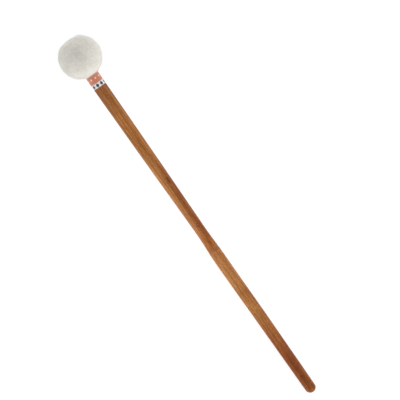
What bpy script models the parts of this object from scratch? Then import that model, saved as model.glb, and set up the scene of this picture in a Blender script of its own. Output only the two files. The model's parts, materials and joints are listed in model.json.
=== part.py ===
"""Timpani mallet: a ground bamboo shaft with a soft white felt ball on its end.

Metres, +Z up. The mallet lies at rest on the plane z = 0, on the felt ball and the round end of
its butt. +X runs from the butt to the head. The origin is under the middle of its bounding box.

Every piece is turned about one axis, the shaft's, with x = 0 at the butt and y = z = 0 on the
axis. All of them hang on one empty, which tips the head up and lays the mallet down.
"""

import math

import bmesh
import bpy
from mathutils import Vector

# Gap between neighbouring pieces: glue lines and the felt's own fit.
CLEARANCE = 0.0003

# Shaft. Each internode is a parabola through three diameters, at its two ends and its middle.
SHAFT_LENGTH = 0.3525
NODE_AT = 0.1529
BUTT_DIAMETER = 0.0097
LOWER_MIDDLE_DIAMETER = 0.0107
LOWER_NODE_DIAMETER = 0.01125
UPPER_NODE_DIAMETER = 0.0089
UPPER_MIDDLE_DIAMETER = 0.01126
HEAD_END_DIAMETER = 0.0126
HEAD_END_CHAMFER = 0.0004

# The butt is a half ball, sanded to a small flat in its middle.
BUTT_FLAT_DIAMETER = 0.0024

# The flare blends one internode into the other. Its middle lies a little above the node.
FLARE_LENGTH = 0.0360
FLARE_ABOVE_NODE = 0.0080

# The culm leans to one side below its node.
LEAN = 0.0003
LEAN_BELOW_NODE = 0.0220
LEAN_REACH = 0.0450

# Pith bore, interrupted by the node's own wall.
PITH_DIAMETER = 0.0042
DIAPHRAGM_THICKNESS = 0.0050

# Wooden plug in the butt.
PLUG_LENGTH = 0.0120

# Spigot that carries the head.
DOWEL_DIAMETER = 0.0060
DOWEL_DEPTH_IN_SHAFT = 0.0260
DOWEL_CHAMFER = 0.0005

# Head core and its felts.
CORE_DIAMETER = 0.0190
CORE_LENGTH = 0.0194
CORE_ROUNDING = 0.0020
WRAP_THICKNESS = 0.0030
WRAP_JOINT = 0.0006
DISC_OVERHANG = 0.0010
REAR_DISC_THICKNESS = 0.0022
FRONT_DISC_THICKNESS = 0.0025
DISC_ROUNDING = 0.0006
COVER_THICKNESS = 0.0065
COVER_CROWN_THICKNESS = 0.0068
COVER_NECK_LENGTH = 0.0011

# Gathers of the felt cover. They flatten its crown, with a pucker in the middle.
PLEATS = 10
CROWN_FLATTENING = 0.0013
CROWN_FLAT_DIAMETER = 0.0170
PUCKER_DEPTH = 0.0016
PUCKER_DIAMETER = 0.0080
CROWN_PLEAT_DEPTH = 0.00045
CROWN_PLEAT_REACH = 0.0090
NECK_PLEAT_DEPTH = 0.0004
NECK_PLEAT_REACH = 0.0040

# The ball is pressed flat where it lies on the floor.
REST_FLAT_DEPTH = 0.0005

# Draw threads.
NECK_THREAD_DIAMETER = 0.0007
NECK_THREAD_TURNS = 3
CROWN_THREAD_DIAMETER = 0.00035
CROWN_THREAD_TURNS = 2
CROWN_THREAD_INNER_DIAMETER = 0.0018
THREAD_GAP = 0.0005
THREAD_POINTS_PER_TURN = 24

# Printed label, let into the shaft so that it lies flush.
LABEL_LENGTH = 0.0128
LABEL_THICKNESS = 0.00025

# Facets.
SHAFT_SIDES = 32
INNER_SIDES = 32
COVER_SIDES = 4 * PLEATS
RING_STEP = 0.0110
FLARE_RING_STEP = 0.0040
ROUNDING_STEPS = 5
COVER_REAR_STEPS = 7
COVER_FRONT_STEPS = 5
CROWN_FLAT_STEPS = 3
PUCKER_STEPS = 5

# Rows of the cover lie closer together towards the neck.
NECK_CROWDING = 1.3

# Short distance over which a slope of the skin is taken.
SLOPE_STEP = 0.0001

# Places along the shaft's axis, worked out from the sizes above.
CORE_REAR = SHAFT_LENGTH + CLEARANCE
CORE_FRONT = CORE_REAR + CORE_LENGTH
BALL_CENTRE = (CORE_REAR + CORE_FRONT) / 2
FRONT_DISC_REAR = CORE_FRONT + CLEARANCE
FRONT_DISC_FRONT = FRONT_DISC_REAR + FRONT_DISC_THICKNESS
CROWN = FRONT_DISC_FRONT + CLEARANCE + COVER_CROWN_THICKNESS
REAR_DISC_REAR = SHAFT_LENGTH - REAR_DISC_THICKNESS
NECK_THREAD_PITCH = NECK_THREAD_DIAMETER + THREAD_GAP
NECK_THREAD_LENGTH = NECK_THREAD_TURNS * NECK_THREAD_PITCH + NECK_THREAD_DIAMETER
POCKET_FRONT = REAR_DISC_REAR - CLEARANCE
POCKET_REAR = POCKET_FRONT - NECK_THREAD_LENGTH - 2 * CLEARANCE
NECK = POCKET_REAR - COVER_NECK_LENGTH
LABEL_FRONT = NECK - CLEARANCE
LABEL_REAR = LABEL_FRONT - LABEL_LENGTH

# Radii.
HEAD_END_RADIUS = HEAD_END_DIAMETER / 2
PITH_RADIUS = PITH_DIAMETER / 2
DOWEL_RADIUS = DOWEL_DIAMETER / 2
DOWEL_BORE_RADIUS = DOWEL_RADIUS + CLEARANCE
CORE_RADIUS = CORE_DIAMETER / 2
WRAP_INNER_RADIUS = CORE_RADIUS + CLEARANCE
WRAP_OUTER_RADIUS = WRAP_INNER_RADIUS + WRAP_THICKNESS
DISC_RADIUS = CORE_RADIUS + DISC_OVERHANG
NECK_BORE_RADIUS = HEAD_END_RADIUS + CLEARANCE
NECK_THREAD_RADIUS = NECK_BORE_RADIUS + NECK_THREAD_DIAMETER / 2
POCKET_RADIUS = NECK_BORE_RADIUS + NECK_THREAD_DIAMETER + CLEARANCE
WRAP_SPACE_RADIUS = WRAP_OUTER_RADIUS + CLEARANCE
DISC_SPACE_RADIUS = DISC_RADIUS + CLEARANCE
BALL_RADIUS = WRAP_SPACE_RADIUS + COVER_THICKNESS
CROWN_FLAT_RADIUS = CROWN_FLAT_DIAMETER / 2
PUCKER_RADIUS = PUCKER_DIAMETER / 2
LABEL_SEAT_DEPTH = LABEL_THICKNESS + CLEARANCE

# The ball's half lengths along the axis: to the crown before it is flattened, and to the neck.
FRONT_HALF_LENGTH = CROWN - BALL_CENTRE
REAR_HALF_LENGTH = (BALL_CENTRE - NECK) / math.sqrt(1 - (NECK_BORE_RADIUS / BALL_RADIUS) ** 2)


def smooth_step(value):
    """Ease from 0 to 1."""
    value = min(max(value, 0.0), 1.0)
    return value * value * (3 - 2 * value)


def parabola(start, middle, end, share):
    """Value at a share of the way along a parabola through three evenly spaced values."""
    return (
        start * (1 - share) * (1 - 2 * share)
        + 4 * middle * share * (1 - share)
        + end * share * (2 * share - 1)
    )


def culm_radius(x):
    """Outer radius of the ground culm."""
    lower = parabola(BUTT_DIAMETER, LOWER_MIDDLE_DIAMETER, LOWER_NODE_DIAMETER, x / NODE_AT)
    share = (x - NODE_AT) / (SHAFT_LENGTH - NODE_AT)
    upper = parabola(UPPER_NODE_DIAMETER, UPPER_MIDDLE_DIAMETER, HEAD_END_DIAMETER, share)
    flare_start = NODE_AT + FLARE_ABOVE_NODE - FLARE_LENGTH / 2
    blend = smooth_step((x - flare_start) / FLARE_LENGTH)
    return (lower + (upper - lower) * blend) / 2


# Half ball of the butt, as wide as the culm where it starts.
BUTT_BALL_RADIUS = culm_radius(BUTT_DIAMETER / 2)
BUTT_BALL_CENTRE = math.sqrt(BUTT_BALL_RADIUS**2 - (BUTT_FLAT_DIAMETER / 2) ** 2)


def butt_arc(inner_radius, outer_radius):
    """Points on the butt's half ball, from one distance from the axis in to another."""
    first = math.pi - math.asin(min(outer_radius / BUTT_BALL_RADIUS, 1.0))
    last = math.pi - math.asin(inner_radius / BUTT_BALL_RADIUS)
    return arc(BUTT_BALL_CENTRE, 0.0, BUTT_BALL_RADIUS, first, last)


def spaced(start, end, step):
    """Evenly spaced values from start up to but not including end, no further apart than step."""
    count = max(1, math.ceil(abs(end - start) / step))
    return [start + (end - start) * index / count for index in range(count)]


def arc(centre_x, centre_r, radius, first_angle, last_angle):
    """Quarter or other arc of an outline, both ends included."""
    points = []
    for index in range(ROUNDING_STEPS + 1):
        angle = first_angle + (last_angle - first_angle) * index / ROUNDING_STEPS
        points.append((centre_x + radius * math.cos(angle), centre_r + radius * math.sin(angle)))
    return points


def make_material(name, colour, roughness):
    """Plain material of one colour."""
    material = bpy.data.materials.new(name)
    material.use_nodes = True
    shader = material.node_tree.nodes["Principled BSDF"]
    shader.inputs["Base Color"].default_value = (*colour, 1.0)
    shader.inputs["Roughness"].default_value = roughness
    shader.inputs["Metallic"].default_value = 0.0
    return material


def add_piece(name, data, parent, material):
    """Link one named piece under the empty, with its material."""
    piece = bpy.data.objects.new(name, data)
    bpy.context.scene.collection.objects.link(piece)
    piece.parent = parent
    data.materials.append(material)
    return piece


def finish_mesh(name, bm):
    """Turn a bmesh into a mesh with faces out, shaded smooth between its edges."""
    bmesh.ops.recalc_face_normals(bm, faces=bm.faces)
    mesh = bpy.data.meshes.new(name)
    bm.to_mesh(mesh)
    bm.free()
    mesh.shade_smooth()
    mesh.set_sharp_from_angle(angle=math.radians(40))
    return mesh


def on_axis(x, r, angle):
    """Plain turned point."""
    return Vector((x, r * math.cos(angle), r * math.sin(angle)))


def turned_mesh(name, outline, sides, closed=False, place=on_axis):
    """Turn (x, r) points about the X axis. A point with no radius is a pole."""
    bm = bmesh.new()
    rings = []
    for x, r in outline:
        around = sides if r > 0 else 1
        rings.append([bm.verts.new(place(x, r, math.tau * k / sides)) for k in range(around)])
    pairs = list(zip(rings, rings[1:]))
    if closed:
        pairs.append((rings[-1], rings[0]))
    for near, far in pairs:
        for k in range(sides):
            corners = (
                near[k % len(near)],
                near[(k + 1) % sides % len(near)],
                far[(k + 1) % sides % len(far)],
                far[k % len(far)],
            )
            bm.faces.new(list(dict.fromkeys(corners)))
    return finish_mesh(name, bm)


def tube_curve(name, points, diameter):
    """Thread along a row of points, with closed ends."""
    curve = bpy.data.curves.new(name, "CURVE")
    curve.dimensions = "3D"
    curve.bevel_depth = diameter / 2
    curve.bevel_resolution = 1
    curve.use_fill_caps = True
    spline = curve.splines.new("POLY")
    spline.points.add(len(points) - 1)
    for target, point in zip(spline.points, points):
        target.co = (*point, 1.0)
    return curve


def least_gap(points, diameter):
    """Least gap of a thread to itself, leaving out the stretch next to each point."""
    gap = math.inf
    neighbours = THREAD_POINTS_PER_TURN // 2
    for first in range(len(points)):
        for second in range(first + neighbours, len(points)):
            gap = min(gap, (points[first] - points[second]).length - diameter)
    return gap


def leaning(x, r, angle):
    """Point of the culm, moved sideways where the culm leans."""
    distance = abs(x - (NODE_AT - LEAN_BELOW_NODE)) / LEAN_REACH
    lean = LEAN * (1 + math.cos(math.pi * min(distance, 1.0))) / 2
    return on_axis(x, r, angle) + Vector((0.0, lean, 0.0))


def shaft_outline():
    """Half section of the culm, from the node's wall round its outside and back."""
    wall_front = NODE_AT + DIAPHRAGM_THICKNESS / 2
    wall_rear = NODE_AT - DIAPHRAGM_THICKNESS / 2
    socket_floor = SHAFT_LENGTH - DOWEL_DEPTH_IN_SHAFT - CLEARANCE
    flare_front = NODE_AT + FLARE_ABOVE_NODE + FLARE_LENGTH / 2
    flare_rear = flare_front - FLARE_LENGTH
    seat_front = LABEL_FRONT + CLEARANCE
    seat_rear = LABEL_REAR - CLEARANCE
    points = [
        (wall_front, 0.0),
        (wall_front, PITH_RADIUS),
        (socket_floor, PITH_RADIUS),
        (socket_floor, DOWEL_BORE_RADIUS),
        (SHAFT_LENGTH, DOWEL_BORE_RADIUS),
        (SHAFT_LENGTH, HEAD_END_RADIUS - HEAD_END_CHAMFER),
    ]
    outside = [SHAFT_LENGTH - HEAD_END_CHAMFER, seat_front]
    points += [(x, culm_radius(x)) for x in outside]
    points += [(x, culm_radius(x) - LABEL_SEAT_DEPTH) for x in (seat_front, seat_rear)]
    outside = spaced(seat_rear, flare_front, RING_STEP)
    outside += spaced(flare_front, flare_rear, FLARE_RING_STEP)
    outside += spaced(flare_rear, BUTT_BALL_CENTRE, RING_STEP)
    points += [(x, culm_radius(x)) for x in outside]
    points += butt_arc(PITH_RADIUS, BUTT_BALL_RADIUS)
    points += [(wall_rear, PITH_RADIUS), (wall_rear, 0.0)]
    return points


def make_shaft(parent):
    """Bamboo culm with its two bores and the shallow seat of the label."""
    lacquered = make_material("lacquered_bamboo", (0.36, 0.14, 0.045), 0.3)
    mesh = turned_mesh("bamboo_shaft", shaft_outline(), SHAFT_SIDES, place=leaning)
    return add_piece("bamboo_shaft", mesh, parent, lacquered)


def make_butt_plug(parent):
    """Round wooden plug whose end is the middle of the butt's half ball, with its small flat."""
    wood = make_material("plug_wood", (0.3, 0.11, 0.04), 0.5)
    radius = PITH_RADIUS - CLEARANCE
    outline = [(PLUG_LENGTH, 0.0), (PLUG_LENGTH, radius)]
    outline += butt_arc(BUTT_FLAT_DIAMETER / 2, radius)
    outline.append((0.0, 0.0))
    return add_piece("butt_plug", turned_mesh("butt_plug", outline, INNER_SIDES), parent, wood)


def make_head_dowel(parent):
    """Spigot from inside the culm to the front of the core, with chamfered ends."""
    wood = make_material("dowel_wood", (0.55, 0.36, 0.18), 0.6)
    rear = SHAFT_LENGTH - DOWEL_DEPTH_IN_SHAFT
    thin = DOWEL_RADIUS - DOWEL_CHAMFER
    outline = [
        (rear, 0.0),
        (rear, thin),
        (rear + DOWEL_CHAMFER, DOWEL_RADIUS),
        (CORE_FRONT - DOWEL_CHAMFER, DOWEL_RADIUS),
        (CORE_FRONT, thin),
        (CORE_FRONT, 0.0),
    ]
    return add_piece("head_dowel", turned_mesh("head_dowel", outline, INNER_SIDES), parent, wood)


def rounded_ring(rear, front, inner_radius, outer_radius, rounding):
    """Closed section of a ring whose outer edges are rounded, at most to its middle."""
    rounding = min(rounding, 0.45 * (front - rear))
    points = [(rear, inner_radius)]
    points += arc(rear + rounding, outer_radius - rounding, rounding, math.pi, math.pi / 2)
    points += arc(front - rounding, outer_radius - rounding, rounding, math.pi / 2, 0.0)
    points.append((front, inner_radius))
    return points


def make_core(parent):
    """Turned core with a bore for the dowel."""
    wood = make_material("core_wood", (0.6, 0.42, 0.24), 0.6)
    section = rounded_ring(CORE_REAR, CORE_FRONT, DOWEL_BORE_RADIUS, CORE_RADIUS, CORE_ROUNDING)
    mesh = turned_mesh("core", section, INNER_SIDES, closed=True)
    return add_piece("core", mesh, parent, wood)


def make_rear_felt_disc(parent, felt):
    """Felt ring round the end of the culm, behind the core."""
    section = rounded_ring(
        REAR_DISC_REAR, SHAFT_LENGTH, NECK_BORE_RADIUS, DISC_RADIUS, DISC_ROUNDING
    )
    mesh = turned_mesh("rear_felt_disc", section, INNER_SIDES, closed=True)
    return add_piece("rear_felt_disc", mesh, parent, felt)


def make_front_felt_disc(parent, felt):
    """Felt disc over the front of the core and the end of the dowel."""
    section = rounded_ring(FRONT_DISC_REAR, FRONT_DISC_FRONT, 0.0, DISC_RADIUS, DISC_ROUNDING)
    mesh = turned_mesh("front_felt_disc", section, INNER_SIDES)
    return add_piece("front_felt_disc", mesh, parent, felt)


def make_inner_felt_wrap(parent, felt):
    """Felt strip bent once round the core, its two ends meeting in a butt joint."""
    bm = bmesh.new()
    corners = (
        (CORE_REAR, WRAP_INNER_RADIUS),
        (CORE_FRONT, WRAP_INNER_RADIUS),
        (CORE_FRONT, WRAP_OUTER_RADIUS),
        (CORE_REAR, WRAP_OUTER_RADIUS),
    )
    joint_angle = WRAP_JOINT / WRAP_INNER_RADIUS
    strip_end = bm.faces.new([bm.verts.new(on_axis(x, r, joint_angle / 2)) for x, r in corners])
    bmesh.ops.spin(
        bm,
        geom=[*strip_end.verts, *strip_end.edges, strip_end],
        cent=(0.0, 0.0, 0.0),
        axis=(1.0, 0.0, 0.0),
        angle=math.tau - joint_angle,
        steps=INNER_SIDES,
    )
    return add_piece("inner_felt_wrap", finish_mesh("inner_felt_wrap", bm), parent, felt)


def dip(r, depth, radius):
    """Depth of a smooth round hollow at a distance from its middle."""
    return depth * max(0.0, 1 - (r / radius) ** 2) ** 2


def crown_skin(r):
    """Place along the axis of the ball's front skin, at a distance from the axis."""
    x = BALL_CENTRE + FRONT_HALF_LENGTH * math.sqrt(max(0.0, 1 - (r / BALL_RADIUS) ** 2))
    flattening = dip(r, CROWN_FLATTENING, CROWN_FLAT_RADIUS)
    return x - flattening - dip(r, PUCKER_DEPTH, PUCKER_RADIUS)


def cover_outline():
    """Half section of the felt cover: crown, skin, neck, then the space inside it."""
    radii = [PUCKER_RADIUS * index / PUCKER_STEPS for index in range(PUCKER_STEPS)]
    flat_width = CROWN_FLAT_RADIUS - PUCKER_RADIUS
    radii += [
        PUCKER_RADIUS + flat_width * index / CROWN_FLAT_STEPS for index in range(CROWN_FLAT_STEPS)
    ]
    first = math.asin(CROWN_FLAT_RADIUS / BALL_RADIUS)
    for index in range(COVER_FRONT_STEPS):
        angle = first + (math.pi / 2 - first) * index / COVER_FRONT_STEPS
        radii.append(BALL_RADIUS * math.sin(angle))
    points = [(crown_skin(r), r) for r in radii]
    last = math.pi - math.asin(NECK_BORE_RADIUS / BALL_RADIUS)
    for index in range(COVER_REAR_STEPS + 1):
        share = 1 - (1 - index / COVER_REAR_STEPS) ** NECK_CROWDING
        angle = math.pi / 2 + (last - math.pi / 2) * share
        r = BALL_RADIUS * math.sin(angle)
        points.append((BALL_CENTRE + REAR_HALF_LENGTH * math.cos(angle), r))
    points += [
        (POCKET_REAR, NECK_BORE_RADIUS),
        (POCKET_REAR, POCKET_RADIUS),
        (POCKET_FRONT, POCKET_RADIUS),
        (POCKET_FRONT, DISC_SPACE_RADIUS),
        (SHAFT_LENGTH, DISC_SPACE_RADIUS),
        (SHAFT_LENGTH, WRAP_SPACE_RADIUS),
        (FRONT_DISC_REAR, WRAP_SPACE_RADIUS),
        (FRONT_DISC_REAR, DISC_SPACE_RADIUS),
        (FRONT_DISC_FRONT + CLEARANCE, DISC_SPACE_RADIUS),
        (FRONT_DISC_FRONT + CLEARANCE, 0.0),
    ]
    return points


def gathered(x, r, angle):
    """Point of the cover. Pleats draw its skin in round the crown and round the neck."""
    fold = (1 - math.cos(PLEATS * angle)) / 2
    if x > FRONT_DISC_FRONT + 2 * CLEARANCE:
        share = min(r / CROWN_PLEAT_REACH, 1.0)
        depth = CROWN_PLEAT_DEPTH * math.sin(math.pi * share)
        return on_axis(x - depth * fold, r, angle)
    if x < POCKET_REAR and r > NECK_BORE_RADIUS:
        share = min((r - NECK_BORE_RADIUS) / NECK_PLEAT_REACH, 1.0)
        depth = NECK_PLEAT_DEPTH * math.sin(math.pi * math.sqrt(share))
        return on_axis(x + depth * fold, r, angle)
    return on_axis(x, r, angle)


def make_felt_cover(parent, floor):
    """Thick outer felt, pressed flat by the floor it lies on."""
    white = make_material("white_felt", (0.72, 0.69, 0.64), 0.95)
    mesh = turned_mesh("felt_cover", cover_outline(), COVER_SIDES, place=gathered)
    piece = add_piece("felt_cover", mesh, parent, white)
    flat = piece.modifiers.new("rest_flat", "BOOLEAN")
    flat.operation = "DIFFERENCE"
    flat.solver = "EXACT"
    flat.object = floor
    return piece


def make_neck_thread(parent, cotton):
    """Draw thread, wound round the culm inside the cover's neck."""
    start = POCKET_REAR + CLEARANCE + NECK_THREAD_DIAMETER / 2
    points = []
    for index in range(NECK_THREAD_TURNS * THREAD_POINTS_PER_TURN + 1):
        turn = index / THREAD_POINTS_PER_TURN
        points.append(on_axis(start + turn * NECK_THREAD_PITCH, NECK_THREAD_RADIUS, math.tau * turn))
    print("neck_thread gap to itself, mm:", round(1000 * least_gap(points, NECK_THREAD_DIAMETER), 3))
    curve = tube_curve("neck_thread", points, NECK_THREAD_DIAMETER)
    return add_piece("neck_thread", curve, parent, cotton)


def make_crown_thread(parent, cotton):
    """Draw thread, wound in the pucker of the crown as a flat spiral."""
    pitch = CROWN_THREAD_DIAMETER + THREAD_GAP
    points = []
    for index in range(CROWN_THREAD_TURNS * THREAD_POINTS_PER_TURN + 1):
        turn = index / THREAD_POINTS_PER_TURN
        r = CROWN_THREAD_INNER_DIAMETER / 2 + pitch * turn
        slope = (crown_skin(r + SLOPE_STEP) - crown_skin(r)) / SLOPE_STEP
        lift = (CLEARANCE + CROWN_THREAD_DIAMETER / 2) * math.hypot(1, slope)
        points.append(on_axis(crown_skin(r) + lift, r, math.tau * turn))
    print("crown_thread gap to itself, mm:", round(1000 * least_gap(points, CROWN_THREAD_DIAMETER), 3))
    curve = tube_curve("crown_thread", points, CROWN_THREAD_DIAMETER)
    return add_piece("crown_thread", curve, parent, cotton)


def make_name_label(parent):
    """Printed sleeve in its seat next to the felt. It follows the taper of the culm."""
    paper = make_material("label_paper", (0.6, 0.25, 0.18), 0.4)
    rear_radius = culm_radius(LABEL_REAR)
    front_radius = culm_radius(LABEL_FRONT)
    outline = [
        (LABEL_REAR, rear_radius - LABEL_THICKNESS),
        (LABEL_REAR, rear_radius),
        (LABEL_FRONT, front_radius),
        (LABEL_FRONT, front_radius - LABEL_THICKNESS),
    ]
    mesh = turned_mesh("name_label", outline, SHAFT_SIDES, closed=True)
    return add_piece("name_label", mesh, parent, paper)


def lay_down(mallet):
    """Tip the head up until the pressed ball and the butt's half ball both touch z = 0."""
    ball_height = BALL_RADIUS - REST_FLAT_DEPTH
    rise = ball_height - BUTT_BALL_RADIUS
    tip = math.asin(rise / (BALL_CENTRE - BUTT_BALL_CENTRE))
    mallet.rotation_euler = (0.0, -tip, 0.0)
    mallet.location = (0.0, 0.0, ball_height - BALL_CENTRE * math.sin(tip))


def centre_on_origin(mallet, pieces):
    """Slide the mallet along X until the middle of its length is over the origin."""
    bpy.context.view_layer.update()
    ends = [(piece.matrix_world @ v.co).x for piece in pieces for v in piece.data.vertices]
    mallet.location.x -= (min(ends) + max(ends)) / 2


def make_floor_cutter():
    """Block whose top is the floor, for pressing the ball flat. It is a guide, not a piece."""
    bm = bmesh.new()
    bmesh.ops.create_cube(bm, size=1.0)
    mesh = bpy.data.meshes.new("floor_cutter")
    bm.to_mesh(mesh)
    bm.free()
    cutter = bpy.data.objects.new("floor_cutter", mesh)
    bpy.context.scene.collection.objects.link(cutter)
    cutter.location = (0.0, 0.0, -0.5)
    cutter.hide_render = True
    cutter.display_type = "WIRE"
    return cutter


def main():
    """Clear the scene, make every piece and lay the mallet down."""
    for old in list(bpy.data.objects):
        bpy.data.objects.remove(old, do_unlink=True)

    mallet = bpy.data.objects.new("mallet", None)
    bpy.context.scene.collection.objects.link(mallet)
    floor = make_floor_cutter()

    hard_felt = make_material("hard_felt", (0.62, 0.6, 0.56), 0.9)
    cotton = make_material("cotton_thread", (0.75, 0.72, 0.66), 0.8)
    make_shaft(mallet)
    plug = make_butt_plug(mallet)
    make_head_dowel(mallet)
    make_core(mallet)
    make_rear_felt_disc(mallet, hard_felt)
    make_front_felt_disc(mallet, hard_felt)
    make_inner_felt_wrap(mallet, hard_felt)
    cover = make_felt_cover(mallet, floor)
    make_neck_thread(mallet, cotton)
    make_crown_thread(mallet, cotton)
    make_name_label(mallet)

    lay_down(mallet)
    centre_on_origin(mallet, [plug, cover])


main()
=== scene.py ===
"""Timpani mallet lying on a white floor, seen from above.

Metres, +Z up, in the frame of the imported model. Every piece is built in the mallet's own frame,
like the solids: x = 0 at the butt, the shaft's axis along +x towards the head, +y to the left as
seen from the butt, z up. LAY puts that frame where the mallet lies. Colours are linear.
"""

import json
import math
import random

import bmesh
import bpy
import numpy as np
from mathutils import Matrix, Vector, noise


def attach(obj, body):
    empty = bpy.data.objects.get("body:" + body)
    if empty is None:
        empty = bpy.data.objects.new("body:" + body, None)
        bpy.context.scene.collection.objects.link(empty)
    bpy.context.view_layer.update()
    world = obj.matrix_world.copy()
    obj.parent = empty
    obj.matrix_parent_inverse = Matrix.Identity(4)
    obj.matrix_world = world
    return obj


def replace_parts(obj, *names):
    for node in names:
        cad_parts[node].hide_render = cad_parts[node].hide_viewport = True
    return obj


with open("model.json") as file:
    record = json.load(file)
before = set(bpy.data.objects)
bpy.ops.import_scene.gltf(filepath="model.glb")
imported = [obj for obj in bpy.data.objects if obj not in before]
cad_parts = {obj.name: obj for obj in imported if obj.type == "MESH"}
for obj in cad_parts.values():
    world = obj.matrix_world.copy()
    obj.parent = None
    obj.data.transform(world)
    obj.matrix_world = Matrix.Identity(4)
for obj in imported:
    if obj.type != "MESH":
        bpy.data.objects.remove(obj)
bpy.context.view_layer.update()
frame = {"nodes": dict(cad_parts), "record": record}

# Without a seed, noise_vector has another offset in each run.
NOISE_SEED = 5
noise.seed_set(NOISE_SEED)

# The mallet's frame, from the flat face at its butt.
butt_end = next(mount for mount in frame["record"]["mounts"] if mount["name"] == "butt_end")
AHEAD = -Vector(butt_end["axis"]).normalized()
LEFT = Vector((0.0, 1.0, 0.0))
ABOVE = AHEAD.cross(LEFT)
BUTT = Vector(butt_end["pos_m"])
LAY = Matrix.Translation(BUTT) @ Matrix((AHEAD, LEFT, ABOVE)).transposed().to_4x4()

# Sizes of the solids, as in the part's source.
CLEARANCE = 0.0003
SHAFT_LENGTH = 0.3525
NODE_AT = 0.1529
BUTT_DIAMETER = 0.0097
LOWER_MIDDLE_DIAMETER = 0.0107
LOWER_NODE_DIAMETER = 0.01125
UPPER_NODE_DIAMETER = 0.0089
UPPER_MIDDLE_DIAMETER = 0.01126
HEAD_END_DIAMETER = 0.0126
BUTT_FLAT_RADIUS = 0.0012
HEAD_END_CHAMFER = 0.0004
FLARE_LENGTH = 0.0360
FLARE_ABOVE_NODE = 0.0080
LEAN = 0.0003
LEAN_BELOW_NODE = 0.0220
LEAN_REACH = 0.0450
PITH_RADIUS = 0.0021
DIAPHRAGM_THICKNESS = 0.0050
DOWEL_DEPTH_IN_SHAFT = 0.0260
DOWEL_BORE_RADIUS = 0.0033
CORE_REAR = 0.3528
CORE_FRONT = 0.3722
WRAP_INNER_RADIUS = 0.0098
WRAP_OUTER_RADIUS = 0.0128
WRAP_JOINT = 0.0006
DISC_RADIUS = 0.0105
REAR_DISC_REAR = 0.3503
FRONT_DISC_REAR = 0.3725
FRONT_DISC_FRONT = 0.3750
NECK_BORE_RADIUS = 0.0066
NECK_LIP_RADIUS = 0.0064
BALL_CENTRE = 0.3625
BALL_RADIUS = 0.0196
CROWN = 0.3821
NECK = 0.3440
POCKET_REAR = 0.3451
POCKET_FRONT = 0.3500
POCKET_RADIUS = 0.0076
PLEATS = 10
PUCKER_RADIUS = 0.0040
CROWN_PLEAT_DEPTH = 0.00045
CROWN_PLEAT_REACH = 0.0090
NECK_PLEAT_DEPTH = 0.0004
NECK_PLEAT_REACH = 0.0040
NECK_THREAD_DIAMETER = 0.0007
NECK_THREAD_TURNS = 3
CROWN_THREAD_DIAMETER = 0.00035
CROWN_THREAD_TURNS = 2
CROWN_THREAD_INNER_RADIUS = 0.0009
THREAD_GAP = 0.0005
LABEL_FRONT = 0.3437
LABEL_REAR = 0.3309
LABEL_THICKNESS = 0.00025
LABEL_SEAT_DEPTH = 0.00055

FRONT_HALF_LENGTH = CROWN - BALL_CENTRE
REAR_HALF_LENGTH = (BALL_CENTRE - NECK) / math.sqrt(1 - (NECK_BORE_RADIUS / BALL_RADIUS) ** 2)
NECK_ANGLE = math.pi - math.asin(NECK_BORE_RADIUS / BALL_RADIUS)

# Camera, over the mallet and a little towards its head.
CAMERA_LENS = 400.0
CAMERA_TILT = math.radians(2.2)
CAMERA_ROLL = math.radians(235.0493)
CAMERA_TARGET = Vector((0.0070851, -0.0150455, 0.01))
CAMERA_DISTANCE = 3.93499
CAMERA_CLIP_END = 100.0

# Floor, surroundings and lamp.
FLOOR_SIZE = 30.0
FLOOR_ALBEDO = 0.85
FLOOR_GLOW = 0.60
FLOOR_SEEN_ALBEDO = 0.30
FLOOR_SEEN_GLOW = 0.80
ZENITH_STRENGTH = 0.20
HORIZON_STRENGTH = 2.15
LAMP_PLACE = Vector((-1.60, -0.58, 1.2))
LAMP_AIM = Vector((0.0, 0.0, 0.02))
LAMP_WIDTH = 1.2
LAMP_POWER = 15.0
WHITE = (1.0, 1.0, 1.0)

# Culm's mesh. Its rows lie closer near the node. A point of its outline is on the outer face
# where its radius is above OUTER_FACE_FROM. The covered station lies inside the felt's neck.
CULM_SIDES = 80
CULM_STEP = 0.0016
NODE_STEP = 0.00025
NODE_ZONE = 0.006
BUTT_STEPS = 20
OUTER_FACE_FROM = DOWEL_BORE_RADIUS + 0.0001
COVERED_STATION = 0.3479
SEAT_GAP = CLEARANCE / 3

# Culm's relief: hand grinding, and the scar at the node, a ridge with a groove ahead of it.
UNEVENNESS = 0.00005
UNEVENNESS_ALONG = 45
UNEVENNESS_ROUND = 1.3
RIDGE_HEIGHT = 0.00007
RIDGE_WIDTH = 0.0012
GROOVE_DEPTH = 0.00010
GROOVE_WIDTH = 0.0005
GROOVE_AHEAD = 0.0016

# Tone of the culm by its share of the way along, from the butt to the head.
CULM_TONES = (
    (0.00, (0.215, 0.062, 0.0125)),
    (0.10, (0.196, 0.047, 0.0092)),
    (0.16, (0.278, 0.085, 0.0200)),
    (0.24, (0.290, 0.108, 0.0290)),
    (0.29, (0.336, 0.128, 0.0360)),
    (0.34, (0.376, 0.154, 0.0450)),
    (0.41, (0.360, 0.141, 0.0380)),
    (0.46, (0.308, 0.094, 0.0200)),
    (0.52, (0.292, 0.093, 0.0230)),
    (0.58, (0.338, 0.125, 0.0330)),
    (0.66, (0.338, 0.129, 0.0355)),
    (0.73, (0.318, 0.121, 0.0300)),
    (0.80, (0.319, 0.122, 0.0305)),
    (0.96, (0.246, 0.089, 0.0250)),
)

# Grain of the culm, as noise scales along and across it.
BROAD_STREAKS = (7.0, 420.0, 420.0)
NARROW_STREAKS = (24.0, 1250.0, 1250.0)
FIBRES = (26.0, 3300.0, 3300.0)
DASHES = (160.0, 4200.0, 4200.0)
SPECKLE = (420.0, 900.0, 900.0)
CLOUDS = (220.0, 400.0, 400.0)
MOTTLE = (300.0, 900.0, 900.0)

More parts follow.
